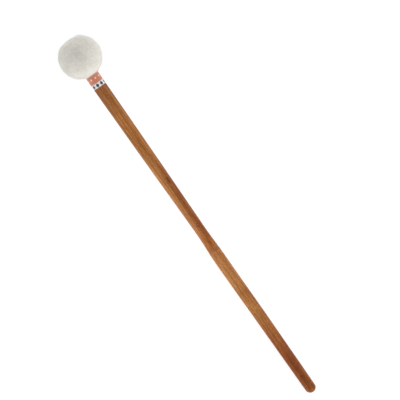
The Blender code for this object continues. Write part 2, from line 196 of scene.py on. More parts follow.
# What the speckle and the narrow streaks do to the tone: noise value, factor on the colour.
SPECKLE_TINTS = ((0.36, (0.86, 0.82, 0.68)), (0.50, WHITE), (0.64, (1.14, 1.18, 1.33)))
STREAK_TINTS = ((0.35, (0.70, 0.62, 0.52)), (0.50, WHITE), (0.65, (1.22, 1.31, 1.35)))

# Stretches of the culm: start, end, how softly both ends fade, strength.
RED_STRETCH = (0.1640, 0.2480, 0.0160, 0.50)
PALE_STRETCH_ABOVE = (0.1640, 0.2420, 0.0150, 0.42)
PALE_STRETCH_BELOW = (0.1180, 0.1520, 0.0060, 0.36)
CLOUDED_NODE = (0.1480, 0.1570, 0.0030, 1.0)
CLOUDED_BELOW = (0.1130, 0.1490, 0.0060, 0.35)
CLOUDED_ELSEWHERE = 0.15
SCAR = (0.1539, 0.1549, 0.0004, 1.0)
DARK_BAND = (0.1069, 0.1109, 0.0020, 0.35)
FLECKS = (0.0869, 0.1009, 0.0030, 1.0)

# Colours of these stretches, and of the dashes and clouds between them.
RED_SIDE = (0.172, 0.039, 0.006)
PALE_SIDE = (0.520, 0.235, 0.085)
DASH_BROWN = (0.12, 0.035, 0.012)
CLOUD_OLIVE = (0.290, 0.150, 0.024)
CLOUD_PINK = (0.400, 0.165, 0.085)
SCAR_BROWN = (0.210, 0.095, 0.060)
BAND_BROWN = (0.230, 0.070, 0.012)
FLECK_GOLD = (0.500, 0.250, 0.060)

# Oval marks on the culm's upper side: place along it and across it, half length, half width,
# strength, colour.
CULM_MARKS = (
    (0.2159, -0.0046, 0.0140, 0.0013, 0.50, (0.150, 0.042, 0.008)),
    (0.2284, -0.0021, 0.0040, 0.0009, 0.85, (0.115, 0.028, 0.004)),
    (0.1809, -0.0009, 0.0019, 0.0011, 0.75, (0.110, 0.032, 0.010)),
    (0.1812, -0.0009, 0.0005, 0.0004, 0.70, (0.560, 0.300, 0.150)),
    (0.3180, 0.0042, 0.0150, 0.0020, 0.50, (0.185, 0.068, 0.018)),
    (0.0359, -0.0030, 0.0120, 0.0012, 0.50, (0.150, 0.040, 0.008)),
    (0.0629, 0.0005, 0.0090, 0.0014, 0.30, (0.180, 0.060, 0.016)),
)

# Pairs of tones of the other woods and of the thread.
PLUG_TONES = ((0.23, 0.075, 0.024), (0.36, 0.140, 0.050))
DOWEL_TONES = ((0.62, 0.42, 0.23), (0.45, 0.27, 0.13))
CORE_TONES = ((0.66, 0.48, 0.29), (0.48, 0.31, 0.16))
THREAD_TONES = ((0.62, 0.58, 0.50), (0.78, 0.75, 0.69))

# Felt skin. It lies below the solid's face, because the nap stands above it. The felt is fuller
# towards the neck and on one side, and its crown is rounder than the solid's. Its rows lie
# closer towards the crown. Its pleats wander and differ in depth.
SKIN_SIDES = 300
SKIN_ROWS = 150
SKIN_CROWDING = 0.25
SKIN_DEPTH = 0.0006
SKIN_DEPTH_AHEAD = 0.0006
SKIN_DEPTH_LEFT = 0.0007
SOFT_FLATTENING = 0.0018
SOFT_FLAT_RADIUS = 0.0125
SOFT_PUCKER = 0.0010
PLEAT_WANDER = 0.10
PLEAT_VARIETY = 0.35
LIP_OVERHANG = 0.00035
LIP_WIDTH = 0.0014

# Lumps of the skin: height, noise scale. They and the skin's depth fade out towards the neck's
# edge, and towards the middle of the crown down to CROWN_SHARE.
LUMPS = ((0.00004, 150.0), (0.00008, 420.0), (0.00009, 1100.0))
NECK_FADE = 0.003
CROWN_FADE_FROM = 0.002
CROWN_FADE = 0.006
CROWN_SHARE = 0.15

# Colours of the felts and of the wool fibres.
WHITE_FELT_TONES = ((0.735, 0.712, 0.655), (0.635, 0.612, 0.555))
HARD_FELT_TONES = ((0.62, 0.60, 0.56), (0.50, 0.48, 0.44))
HARD_FELT_FINENESS = 1.4
COOL_WOOL = ((0.745, 0.740, 0.668), (0.960, 0.950, 0.885))
WARM_WOOL = ((0.765, 0.725, 0.675), (0.975, 0.935, 0.890))
CLEAN_WOOL = (0.88, 0.88, 0.88)
SHADED_WOOL = (0.63, 0.62, 0.575)
# Painted light: the fibres' paler colour towards the neck and at its lip.
NECK_LIT_WOOL = (0.95, 0.935, 0.91)
LOOSE_WOOL_CLEANNESS = 0.7

# Shade between the tufts: noise scale, its strength on the skin and on the fibres, and the skin's
# darker shade there and its painted lighter tone towards the neck, as shares of its tones.
TUFT_SCALE = 400.0
SKIN_TUFTS = 0.6
FIBRE_TUFTS = 0.8
TUFT_SHADE = 0.85
NECK_LIGHT_FACTOR = 1.15

# Painted light towards the neck and at its lip, where the wool is painted paler to lift the shade
# there: how far ahead of the neck it begins and is full, and its strength.
NECK_LIGHT_HALF = (0.0090, 0.0010, 0.30)
NECK_LIGHT_LIP = (0.0014, 0.0002, 0.90)

# Raised nap: seed, number of fibres, shortest and longest length, radius at the root, the angles
# down from the crown between which the fibres stand, and how strongly they lean to the axis.
DENSE_NAP = (5, 44000, 0.0005, 0.0013, 0.000022, 0.0, NECK_ANGLE - 0.02, 0.0)
LONG_NAP = (9, 17000, 0.0020, 0.0038, 0.000014, 0.0, NECK_ANGLE - 0.02, 0.0)
NECK_NAP = (13, 1100, 0.0009, 0.0020, 0.000018, NECK_ANGLE - 0.05, NECK_ANGLE, 1.5)
CROWN_NAP = (17, 800, 0.0012, 0.0028, 0.000018, 0.0, 0.18, 0.8)

# How the fibres stand: least and most lift out of the skin, strength and noise scale of their
# swirls, and the crown's middle, where they are shorter.
FIBRE_LIFT = (0.25, 0.95)
SWIRL_STRENGTH = 2.0
SWIRL_SCALE = 420
SHORT_WITHIN = 0.010
SHORTEST_SHARE = 0.35

# Form of a fibre, in shares of its length: how far its middle and tip stand out, how far its
# middle leans over, and its thickness there as a share of that at the root.
MIDDLE_OUT = 0.50
MIDDLE_OVER = 0.35
TIP_OUT = 0.85
MIDDLE_THICKNESS = 0.8
ROOT_DEPTH = 0.0001
FLOOR_GAP = 0.0001
SHAFT_GAP = 0.00015
SHAFT_GAP_REACH = 0.002

# The nap shares a square map of NAP_CELLS cells a side. In a fibre's cell, the root's end is a
# triangle, and each side is a strip from the root to the tip.
NAP_CELLS = 24
CELL_END = ((0.05, 0.78), (0.50, 0.78), (0.27, 0.95))
CELL_ROOT, CELL_MIDDLE, CELL_TIP = 0.05, 0.55, 0.95
CELL_SIDE_LOW, CELL_SIDE_HIGH, CELL_SIDE_PITCH = 0.05, 0.26, 0.23

# Hard felts inside the head.
DISC_SIDES = 72
DISC_ROUNDING = 0.0006
DISC_BULGE = 0.0001
DISC_ARC_STEPS = 6
WRAP_STEPS = 96
WRAP_ROUNDING = 0.0005
WRAP_ARC_STEPS = 4

# Threads: rows a turn, length of one twist of the two plies, how far they nest.
NECK_THREAD_STEPS = 240
NECK_THREAD_TWIST = 0.0016
CROWN_THREAD_STEPS = 110
CROWN_THREAD_TWIST = 0.0010
CROWN_THREAD_LIFT = 0.0001
PLY_SIDES = 6
PLY_NESTING = 0.95

# Printed sleeve. It stands a little proud and laps over itself underneath.
LABEL_SIDES = 120
LABEL_STEP = 0.0006
LABEL_RIM = 0.00008
LABEL_PROUD = 0.00004
LAP_ANGLE = 1.5 * math.pi
LAP_HALF_ANGLE = 0.35
LAP_HEIGHT = 0.00006

# Its print. A row of lozenges has its place, half width as a share of a lozenge's room, half
# height, and turn in lozenges. The lint is the felt's, and lies at the front edge.
LOZENGES = 9
GOLD_ROW = (0.3397, 0.22, 0.0013, 0.0)
DARK_ROW = (0.3330, 0.37, 0.0021, 0.5)
BAND_EDGE = 0.3352
BAND_BLUR = 0.00005
LINT_FROM = LABEL_FRONT - 0.0014
LINT_FULL = LABEL_FRONT - 0.0002
SALMON_TONES = ((0.455, 0.147, 0.088), (0.532, 0.190, 0.119))
PALE_TONES = ((0.62, 0.60, 0.60), (0.70, 0.68, 0.68))
LOZENGE_GOLD = (0.80, 0.53, 0.34)
LOZENGE_DARK = (0.025, 0.025, 0.045)
LINT_COLOUR = (0.74, 0.66, 0.62)


def smooth_step(value):
    """Ease from 0 to 1."""
    value = min(max(value, 0.0), 1.0)
    return value * value * (3 - 2 * value)


def parabola(start, middle, end, share):
    """Value at a share of the way along a parabola through three evenly spaced values."""
    return (
        start * (1 - share) * (1 - 2 * share)
        + 4 * middle * share * (1 - share)
        + end * share * (2 * share - 1)
    )


def culm_radius(x):
    """Outer radius of the ground culm."""
    lower = parabola(BUTT_DIAMETER, LOWER_MIDDLE_DIAMETER, LOWER_NODE_DIAMETER, x / NODE_AT)
    share = (x - NODE_AT) / (SHAFT_LENGTH - NODE_AT)
    upper = parabola(UPPER_NODE_DIAMETER, UPPER_MIDDLE_DIAMETER, HEAD_END_DIAMETER, share)
    flare_start = NODE_AT + FLARE_ABOVE_NODE - FLARE_LENGTH / 2
    blend = smooth_step((x - flare_start) / FLARE_LENGTH)
    return (lower + (upper - lower) * blend) / 2


def on_axis(x, r, angle):
    """Plain turned point. Angle 0 is the mallet's left, a quarter turn is above."""
    return Vector((x, r * math.cos(angle), r * math.sin(angle)))


def dip(r, depth, radius):
    """Depth of a smooth round hollow at a distance from its middle."""
    return depth * max(0.0, 1 - (r / radius) ** 2) ** 2


def spaced(start, end, step):
    """Evenly spaced values from start up to but not including end, no further apart than step."""
    count = max(1, math.ceil(abs(end - start) / step))
    return [start + (end - start) * index / count for index in range(count)]


def arc(centre_x, centre_r, radius, first_angle, last_angle, steps):
    """Arc of an outline, both ends included."""
    points = []
    for index in range(steps + 1):
        angle = first_angle + (last_angle - first_angle) * index / steps
        points.append((centre_x + radius * math.cos(angle), centre_r + radius * math.sin(angle)))
    return points


def new_mesh(name, verts, faces, places=None, sharp=None):
    """Smooth mesh, with its map's places if it has any.

    Sharp is the angle in degrees from which its edges are sharp. Its faces are then turned
    outwards too.
    """
    mesh = bpy.data.meshes.new(name)
    mesh.from_pydata(verts, [], faces)
    if places:
        layer = mesh.uv_layers.new(name="OFBake")
        layer.data.foreach_set("uv", np.array(places, np.float32).ravel())
    if sharp:
        bm = bmesh.new()
        bm.from_mesh(mesh)
        bmesh.ops.recalc_face_normals(bm, faces=bm.faces)
        bm.to_mesh(mesh)
        bm.free()
    mesh.shade_smooth()
    if sharp:
        mesh.set_sharp_from_angle(angle=math.radians(sharp))
    return mesh


def turned_mesh(name, rows, closed=False):
    """Mesh over rows of points that go round the axis. A row of one point is a pole.

    Its map runs round the piece in u and along its section in v.
    """
    sides = max(len(row) for row in rows)
    verts, starts = [], []
    for row in rows:
        starts.append(len(verts))
        verts.extend(row)
    along = [0.0]
    for near, far in zip(rows, rows[1:] + rows[:1]):
        along.append(along[-1] + (Vector(far[0]) - Vector(near[0])).length)
    used = along[-1] if closed else along[-2]
    pairs = [(index, index + 1) for index in range(len(rows) - 1)]
    if closed:
        pairs.append((len(rows) - 1, 0))
    faces, places = [], []
    for near, far in pairs:
        v_near, v_far = along[near] / used, along[near + 1] / used
        for k in range(sides):
            corners = []
            spots = []
            for row, v, side in (
                (near, v_near, k),
                (near, v_near, k + 1),
                (far, v_far, k + 1),
                (far, v_far, k),
            ):
                around = len(rows[row])
                vert = starts[row] + side % sides % around
                if vert in corners:
                    continue
                corners.append(vert)
                spots.append(((side if around > 1 else k + 0.5) / sides, v))
            faces.append(corners)
            places.extend(spots)
    return new_mesh(name, verts, faces, places, sharp=50)


def ring_rows(outline, sides, place=on_axis):
    """Rows of points for an outline of (x, r)."""
    rows = []
    for x, r in outline:
        around = sides if r > 0 else 1
        rows.append([place(x, r, math.tau * k / sides) for k in range(around)])
    return rows


def add_piece(mesh, material):
    """Link a piece under its mesh's name, where the mallet lies. It rides on the one body."""
    mesh.materials.append(material)
    piece = bpy.data.objects.new(mesh.name, mesh)
    bpy.context.scene.collection.objects.link(piece)
    piece.matrix_world = LAY
    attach(piece, "root")
    return piece


class Nodes:
    """Nodes of a material or a world, with short calls for the kinds used here."""

    def __init__(self, owner):
        self.owner = owner
        owner.use_nodes = True
        self.tree = owner.node_tree
        self.shader = self.tree.nodes.get("Principled BSDF")

    def put(self, socket, value):
        """Link an output to an input, or set the input to a number or colour."""
        if isinstance(value, bpy.types.NodeSocket):
            self.tree.links.new(value, socket)
        elif socket.type == "RGBA":
            socket.default_value = (*value, 1.0)
        else:
            socket.default_value = value

    def add(self, kind, inputs, **settings):
        """New shader node, by its kind, with its inputs and settings."""
        made = self.tree.nodes.new("ShaderNode" + kind)
        for key, value in settings.items():
            setattr(made, key, value)
        for key, value in inputs.items():
            self.put(made.inputs[key], value)
        return made

    def place(self):
        """Object coordinates, which are the mallet's own."""
        return self.add("TexCoord", {}).outputs["Object"]

    def axes(self, vector):
        """The three parts of a vector."""
        return list(self.add("SeparateXYZ", {0: vector}).outputs)

    def maths(self, operation, first, second=0.0):
        return self.add("Math", {0: first, 1: second}, operation=operation).outputs[0]

    def times(self, first, second):
        return self.maths("MULTIPLY", first, second)

    def plus(self, first, second):
        return self.maths("ADD", first, second)

    def noise(self, vector, scale, detail=3.0, roughness=0.55, distortion=0.0):
        inputs = {
            "Vector": vector,
            "Scale": scale,
            "Detail": detail,
            "Roughness": roughness,
            "Distortion": distortion,
        }
        return self.add("TexNoise", inputs).outputs["Fac"]

    def grain(self, vector, scales, detail, roughness=0.55, distortion=0.0):
        """Noise with a scale of its own along each axis."""
        scaled = self.add("Mapping", {"Vector": vector, "Scale": scales}).outputs["Vector"]
        return self.noise(scaled, 1.0, detail, roughness, distortion)

    def between(self, value, low, high, to_low=0.0, to_high=1.0):
        """Smooth step from one value to another as a value goes from low to high."""
        inputs = {"Value": value, 1: low, 2: high, 3: to_low, 4: to_high}
        made = self.add("MapRange", inputs, interpolation_type="SMOOTHSTEP")
        return made.outputs["Result"]

    def mix(self, share, first, second, blend="MIX"):
        """Colour between two, the first at a share of 0 and the second at 1."""
        made = self.add("Mix", {0: share, 6: first, 7: second}, data_type="RGBA", blend_type=blend)
        return made.outputs[2]

    def tinted(self, colour, factor):
        """Colour times another."""
        return self.mix(1.0, colour, factor, "MULTIPLY")

    def ramp(self, value, stops):
        """Colour by a value, from stops of (value, colour)."""
        made = self.add("ValToRGB", {"Fac": value})
        points = made.color_ramp.elements
        while len(points) < len(stops):
            points.new(0.5)
        for point, (position, colour) in zip(points, stops):
            point.position = position
            point.color = (*colour, 1.0)
        return made.outputs["Color"]

    def grey(self, value):
        return self.add("CombineXYZ", {0: value, 1: value, 2: value}).outputs[0]

    def tufts(self, place, strength):
        """Shade between the tufts of wool, the same on the skin and on the fibres over it."""
        matted = self.noise(place, TUFT_SCALE, 3.0, 0.65, 1.8)
        return self.between(matted, 0.52, 0.38, 0.0, strength)

    def neck_painted_light(self, place):
        """Share of painted light: paler wool lifting the shade towards the neck and at its lip."""
        x = self.axes(place)[0]
        half, lip = (
            self.between(x, NECK + start, NECK + full, 0.0, strength)
            for start, full, strength in (NECK_LIGHT_HALF, NECK_LIGHT_LIP)
        )
        return self.maths("MAXIMUM", half, lip)

    def seen(self):
        """1 for what the camera sees, by itself or in or through something, and 0 for light."""
        rays = self.add("LightPath", {}).outputs
        seen = self.maths("MAXIMUM", rays["Is Camera Ray"], rays["Is Glossy Ray"])
        return self.maths("MAXIMUM", seen, rays["Is Transmission Ray"])

    def bump(self, height, distance, strength):
        """Fine relief of the shader's surface."""
        inputs = {"Height": height, "Distance": distance, "Strength": strength}
        normal = self.add("Bump", inputs).outputs["Normal"]
        self.put(self.shader.inputs["Normal"], normal)

    def finish(self, colour, roughness, **sockets):
        """Set the shader's sockets, and return the material."""
        self.put(self.shader.inputs["Base Color"], colour)
        self.put(self.shader.inputs["Roughness"], roughness)
        for key, value in sockets.items():
            self.put(self.shader.inputs[key.replace("_", " ")], value)
        return self.owner


def material_nodes(name):
    """Nodes of a new material."""
    return Nodes(bpy.data.materials.new(name))


def bamboo():
    """Ground bamboo under clear lacquer: streaks along its length, and the marks of this culm."""
    nodes = material_nodes("lacquered_bamboo")
    place = nodes.place()
    x, y, z = nodes.axes(place)
    above = nodes.between(z, -0.0005, 0.0015)

    def patch(at_x, at_y, half_length, half_width, strength):
        """Soft oval on the upper side."""
        u = nodes.maths("DIVIDE", nodes.maths("SUBTRACT", x, at_x), half_length)
        v = nodes.maths("DIVIDE", nodes.maths("SUBTRACT", y, at_y), half_width)
        reach = nodes.plus(nodes.times(u, u), nodes.times(v, v))
        return nodes.times(nodes.between(reach, 1.6, 0.3, 0.0, strength), above)

    def stretch(start, end, ease, strength):
        """Strength between two places along the culm, 0 beyond them."""
        rise = nodes.between(x, start - ease, start + ease, 0.0, strength)
        return nodes.times(rise, nodes.between(x, end + ease, end - ease))

    tone = nodes.ramp(nodes.maths("DIVIDE", x, SHAFT_LENGTH), CULM_TONES)

    # Above the node, one side of the culm is redder and darker than the other, its own tone.
    right = nodes.between(y, 0.0012, -0.0020)
    colour = nodes.mix(nodes.times(right, stretch(*RED_STRETCH)), tone, RED_SIDE)
    # Painted shade: the whole culm is painted darker on its right side and lighter on its left.
    colour = nodes.tinted(colour, nodes.grey(nodes.between(y, -0.0055, 0.0055, 0.90, 1.09)))
    left = nodes.between(y, -0.0002, 0.0016)
    pale = nodes.maths("MAXIMUM", stretch(*PALE_STRETCH_ABOVE), stretch(*PALE_STRETCH_BELOW))
    colour = nodes.mix(nodes.times(left, pale), colour, PALE_SIDE)

    # Streaks, from broad ones to single fibres.
    broad = nodes.grain(place, BROAD_STREAKS, 3.0)
    narrow = nodes.grain(place, NARROW_STREAKS, 1.0)
    fibres = nodes.grain(place, FIBRES, 2.0)
    dashes = nodes.grain(place, DASHES, 1.0)
    speckle = nodes.grain(place, SPECKLE, 2.0, 0.6)
    shade = nodes.between(broad, 0.32, 0.68, 0.94, 1.06)
    shade = nodes.times(shade, nodes.between(fibres, 0.3, 0.7, 0.82, 1.18))
    colour = nodes.tinted(colour, nodes.grey(shade))
    colour = nodes.tinted(colour, nodes.ramp(speckle, SPECKLE_TINTS))
    colour = nodes.tinted(colour, nodes.ramp(narrow, STREAK_TINTS))
    colour = nodes.mix(nodes.between(dashes, 0.60, 0.72, 0.0, 0.35), colour, DASH_BROWN)

    # Clouds of olive and pink, strongest round the node and below it.
    clouds = nodes.grain(place, CLOUDS, 2.0, 0.6)
    cloudy = nodes.plus(stretch(*CLOUDED_BELOW), CLOUDED_ELSEWHERE)
    cloudy = nodes.plus(cloudy, stretch(*CLOUDED_NODE))
    olive = nodes.times(nodes.between(clouds, 0.46, 0.34, 0.0, 0.65), cloudy)
    colour = nodes.mix(olive, colour, CLOUD_OLIVE)
    pink = nodes.times(nodes.between(clouds, 0.52, 0.64, 0.0, 0.60), cloudy)
    colour = nodes.mix(pink, colour, CLOUD_PINK)

    # Marks: the scar at the node, a darker band, pale flecks, and dark specks and stains.
    mottle = nodes.grain(place, MOTTLE, 3.0, 0.6)
    scar = nodes.times(nodes.between(mottle, 0.42, 0.58, 0.05, 0.55), stretch(*SCAR))
    colour = nodes.mix(scar, colour, SCAR_BROWN)
    colour = nodes.mix(stretch(*DARK_BAND), colour, BAND_BROWN)
    flecks = nodes.times(nodes.between(mottle, 0.54, 0.62, 0.0, 0.5), stretch(*FLECKS))
    colour = nodes.mix(flecks, colour, FLECK_GOLD)
    for *mark, tint in CULM_MARKS:
        colour = nodes.mix(patch(*mark), colour, tint)

    nodes.bump(nodes.plus(fibres, nodes.times(dashes, -0.5)), 0.00003, 0.4)
    return nodes.finish(
        colour,
        nodes.between(broad, 0.3, 0.7, 0.38, 0.50),
        Specular_IOR_Level=0.1,
        Coat_Weight=0.05,
        Coat_Roughness=0.20,
        Coat_IOR=1.5,
    )


def end_grain():
    """Wood seen at its end: rings and pores, under lacquer."""
    nodes = material_nodes("plug_wood")
    rings = nodes.grain(nodes.place(), (300.0, 900.0, 2600.0), 3.0)
    colour = nodes.mix(nodes.between(rings, 0.35, 0.65), *PLUG_TONES)
    nodes.bump(rings, 0.00003, 0.3)
    rough = nodes.between(rings, 0.3, 0.7, 0.4, 0.6)
    return nodes.finish(colour, rough, Coat_Weight=0.3, Coat_Roughness=0.15)


def bare_wood(name, pale, dark):
    """Turned hardwood with its grain along the axis."""
    nodes = material_nodes(name)
    place = nodes.place()
    broad = nodes.grain(place, (60.0, 900.0, 500.0), 4.0, 0.6, 0.4)
    fine = nodes.grain(place, (150.0, 3800.0, 3800.0), 2.0)
    colour = nodes.mix(nodes.between(broad, 0.35, 0.68), pale, dark)
    colour = nodes.mix(nodes.between(fine, 0.58, 0.75, 0.0, 0.3), colour, dark)
    nodes.bump(fine, 0.00004, 0.5)
    return nodes.finish(colour, nodes.between(broad, 0.3, 0.7, 0.55, 0.7))


def finish_wool(nodes, colour, matted, smoothest):
    """Rough wool with a soft sheen, a little smoother where it is less matted."""
    return nodes.finish(
        colour,
        nodes.between(matted, 0.3, 0.7, smoothest, 1.0),
        Specular_IOR_Level=0.1,
        Sheen_Weight=1.0,
        Sheen_Roughness=0.3,
    )


def felt(name, pale, dark, fineness=1.0):
    """Pressed wool: matted fibres with faint cloudy shading."""
    nodes = material_nodes(name)
    place = nodes.place()
    clouds = nodes.noise(place, 130.0 * fineness, 3.0, 0.6)
    matted = nodes.noise(place, 900.0 * fineness, 4.0, 0.7, 1.5)
    hairs = nodes.noise(place, 3800.0 * fineness, 2.0, 0.6, 2.5)
    shaded = [TUFT_SHADE * part for part in dark]
    neck_painted_light = [NECK_LIGHT_FACTOR * part for part in pale]
    colour = nodes.mix(nodes.between(clouds, 0.35, 0.65), dark, pale)
    colour = nodes.mix(nodes.between(matted, 0.30, 0.52, 0.35, 0.0), colour, dark)
    colour = nodes.mix(nodes.between(hairs, 0.52, 0.70, 0.0, 0.30), colour, pale)
    colour = nodes.mix(nodes.tufts(place, SKIN_TUFTS), colour, shaded)
    # Painted light: paler skin towards the neck and at its lip, lifting the shade there.
    colour = nodes.mix(nodes.neck_painted_light(place), colour, neck_painted_light)
    nodes.bump(nodes.plus(matted, nodes.times(hairs, 0.5)), 0.00012, 0.6)
    return finish_wool(nodes, colour, matted, 0.92)


def nap_fibre(name, cleanness):
    """Single wool fibres, a little different from each other. Cleaner ones are less yellow."""
    nodes = material_nodes(name)
    place = nodes.place()
    spread = nodes.noise(place, 420.0, 3.0, 0.7)
    warmth = nodes.noise(place, 260.0, 2.0)
    lightness = nodes.between(spread, 0.37, 0.63)
    cool = nodes.mix(lightness, *COOL_WOOL)
    warm = nodes.mix(lightness, *WARM_WOOL)
    colour = nodes.mix(nodes.between(warmth, 0.40, 0.60), cool, warm)
    colour = nodes.mix(cleanness, colour, CLEAN_WOOL)
    colour = nodes.mix(nodes.tufts(place, FIBRE_TUFTS), colour, SHADED_WOOL)
    # Painted light: paler fibres towards the neck and at its lip, lifting the shade there.
    colour = nodes.mix(nodes.neck_painted_light(place), colour, NECK_LIT_WOOL)
    return finish_wool(nodes, colour, spread, 0.9)


def cotton():
    """Twisted cotton thread."""
    nodes = material_nodes("cotton_thread")
    fuzz = nodes.noise(nodes.place(), 5200.0, 3.0, 0.6)
    colour = nodes.mix(nodes.between(fuzz, 0.35, 0.65), *THREAD_TONES)
    nodes.bump(fuzz, 0.00003, 0.6)
    return nodes.finish(colour, nodes.between(fuzz, 0.3, 0.7, 0.8, 0.95), Specular_IOR_Level=0.2)


def label_print():
    """Printed sleeve: a salmon band of small pale gold lozenges and a white band of dark ones."""
    nodes = material_nodes("label_paper")
    place = nodes.place()
    x, y, z = nodes.axes(place)
    turn = nodes.maths("DIVIDE", nodes.maths("ARCTAN2", z, y), math.tau)

    def lozenges(at_x, half_width, half_height, shift):
        """1 inside a row of lozenges round the sleeve, 0 outside."""
        room = nodes.maths("FRACT", nodes.plus(nodes.times(turn, LOZENGES), shift))
        u = nodes.maths("ABSOLUTE", nodes.maths("SUBTRACT", room, 0.5))
        v = nodes.maths("ABSOLUTE", nodes.maths("SUBTRACT", x, at_x))
        u = nodes.maths("DIVIDE", u, half_width)
        v = nodes.maths("DIVIDE", v, half_height)
        return nodes.between(nodes.plus(u, v), 1.08, 0.92)

    ink = nodes.noise(place, 1500.0, 3.0)
    inked = nodes.between(ink, 0.35, 0.65)
    salmon = nodes.mix(lozenges(*GOLD_ROW), nodes.mix(inked, *SALMON_TONES), LOZENGE_GOLD)
    pale = nodes.mix(lozenges(*DARK_ROW), nodes.mix(inked, *PALE_TONES), LOZENGE_DARK)
    band = nodes.between(x, BAND_EDGE - BAND_BLUR, BAND_EDGE + BAND_BLUR)
    colour = nodes.mix(band, pale, salmon)
    colour = nodes.mix(nodes.between(x, LINT_FROM, LINT_FULL, 0.0, 0.5), colour, LINT_COLOUR)
    # Painted shade: the sleeve is painted a little darker on its right side and lighter on its
    # left.
    colour = nodes.tinted(colour, nodes.grey(nodes.between(y, -0.006, 0.006, 0.95, 1.02)))
    nodes.bump(ink, 0.00002, 0.3)
    rough = nodes.between(ink, 0.3, 0.7, 0.40, 0.50)
    return nodes.finish(colour, rough, Coat_Weight=0.10, Coat_Roughness=0.20)


def make_shaft():
    """Bamboo culm, with its scar at the node, its bores and the label's seat."""

    def ground(x, r, angle):
        """Point of the culm, with its relief and its lean to the left."""
        if r > OUTER_FACE_FROM and 0.0 < x < SHAFT_LENGTH:
            across, up = math.cos(angle), math.sin(angle)
            spot = (x * UNEVENNESS_ALONG, UNEVENNESS_ROUND * across, UNEVENNESS_ROUND * up)
            r += UNEVENNESS * noise.noise(Vector(spot))
            ridge = math.exp(-(((x - NODE_AT) / RIDGE_WIDTH) ** 2))
            groove = math.exp(-(((x - NODE_AT - GROOVE_AHEAD) / GROOVE_WIDTH) ** 2))
            r += RIDGE_HEIGHT * ridge - GROOVE_DEPTH * groove
        distance = abs(x - (NODE_AT - LEAN_BELOW_NODE)) / LEAN_REACH
        lean = LEAN * (1 + math.cos(math.pi * min(distance, 1.0))) / 2
        return on_axis(x, r, angle) + Vector((0.0, lean, 0.0))

    butt_radius = culm_radius(BUTT_DIAMETER / 2)
    butt_centre = math.sqrt(butt_radius**2 - BUTT_FLAT_RADIUS**2)
    seat_front = LABEL_FRONT + SEAT_GAP
    seat_rear = LABEL_REAR - SEAT_GAP
    socket_floor = SHAFT_LENGTH - DOWEL_DEPTH_IN_SHAFT - CLEARANCE
    wall_front = NODE_AT + DIAPHRAGM_THICKNESS / 2
    wall_rear = NODE_AT - DIAPHRAGM_THICKNESS / 2
    outline = [
        (wall_front, 0.0),
        (wall_front, PITH_RADIUS),
        (socket_floor, PITH_RADIUS),
        (socket_floor, DOWEL_BORE_RADIUS),
        (SHAFT_LENGTH, DOWEL_BORE_RADIUS),
        (SHAFT_LENGTH, HEAD_END_DIAMETER / 2 - HEAD_END_CHAMFER),
        (SHAFT_LENGTH - HEAD_END_CHAMFER, culm_radius(SHAFT_LENGTH - HEAD_END_CHAMFER)),
    ]
    outline += [(x, culm_radius(x)) for x in (COVERED_STATION, seat_front)]
    outline += [(x, culm_radius(x) - LABEL_SEAT_DEPTH) for x in (seat_front, seat_rear)]
    stations = spaced(seat_rear, NODE_AT + NODE_ZONE, CULM_STEP)
    stations += spaced(NODE_AT + NODE_ZONE, NODE_AT - NODE_ZONE, NODE_STEP)
    stations += spaced(NODE_AT - NODE_ZONE, butt_centre, CULM_STEP)
    outline += [(x, culm_radius(x)) for x in stations]
    last = math.pi - math.asin(PITH_RADIUS / butt_radius)
    outline += arc(butt_centre, 0.0, butt_radius, math.pi / 2, last, BUTT_STEPS)
    outline += [(wall_rear, PITH_RADIUS), (wall_rear, 0.0)]
    mesh = turned_mesh("bamboo_culm", ring_rows(outline, CULM_SIDES, ground))
    piece = add_piece(mesh, bamboo())
    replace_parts(piece, "bamboo_shaft")


def felt_skin(angle_down, angle):
    """Point of the felt's skin, by its angle down from the crown and its angle round the axis."""
    r = BALL_RADIUS * math.sin(angle_down)
    half = FRONT_HALF_LENGTH if angle_down < math.pi / 2 else REAR_HALF_LENGTH
    x = BALL_CENTRE + half * math.cos(angle_down)
    uneven = angle + PLEAT_WANDER * math.sin(3 * angle + 1.0)
    fold = (1 - math.cos(PLEATS * uneven)) / 2
    fold *= 1 - PLEAT_VARIETY + PLEAT_VARIETY * math.sin(2 * angle + 0.4) * math.sin(5 * angle)
    if angle_down < math.pi / 2:
        x -= dip(r, SOFT_FLATTENING, SOFT_FLAT_RADIUS) + dip(r, SOFT_PUCKER, PUCKER_RADIUS)
        share = min(r / CROWN_PLEAT_REACH, 1.0)
        x -= CROWN_PLEAT_DEPTH * math.sin(math.pi * share) * fold
    elif x < POCKET_REAR:
        share = min(max(r - NECK_BORE_RADIUS, 0.0) / NECK_PLEAT_REACH, 1.0)
        x += NECK_PLEAT_DEPTH * math.sin(math.pi * math.sqrt(share)) * fold
        x -= LIP_OVERHANG * (1 - smooth_step((r - NECK_BORE_RADIUS) / LIP_WIDTH))
    point = on_axis(x, r, angle)
    out = (point - Vector((BALL_CENTRE, 0.0, 0.0))).normalized()
    depth = SKIN_DEPTH + SKIN_DEPTH_AHEAD * out.x + SKIN_DEPTH_LEFT * out.y
    if x < BALL_CENTRE:
        fade = smooth_step((r - NECK_BORE_RADIUS) / NECK_FADE)
    else:
        fade = CROWN_SHARE + (1 - CROWN_SHARE) * smooth_step((r - CROWN_FADE_FROM) / CROWN_FADE)
    swell = sum(size * noise.noise(point * scale) for size, scale in LUMPS)
    point += out * (swell - depth) * fade
    below = (LAY @ point).z
    if below < 0.0:
        point -= below * (LAY.to_3x3().inverted() @ Vector((0.0, 0.0, 1.0)))
    return point, out


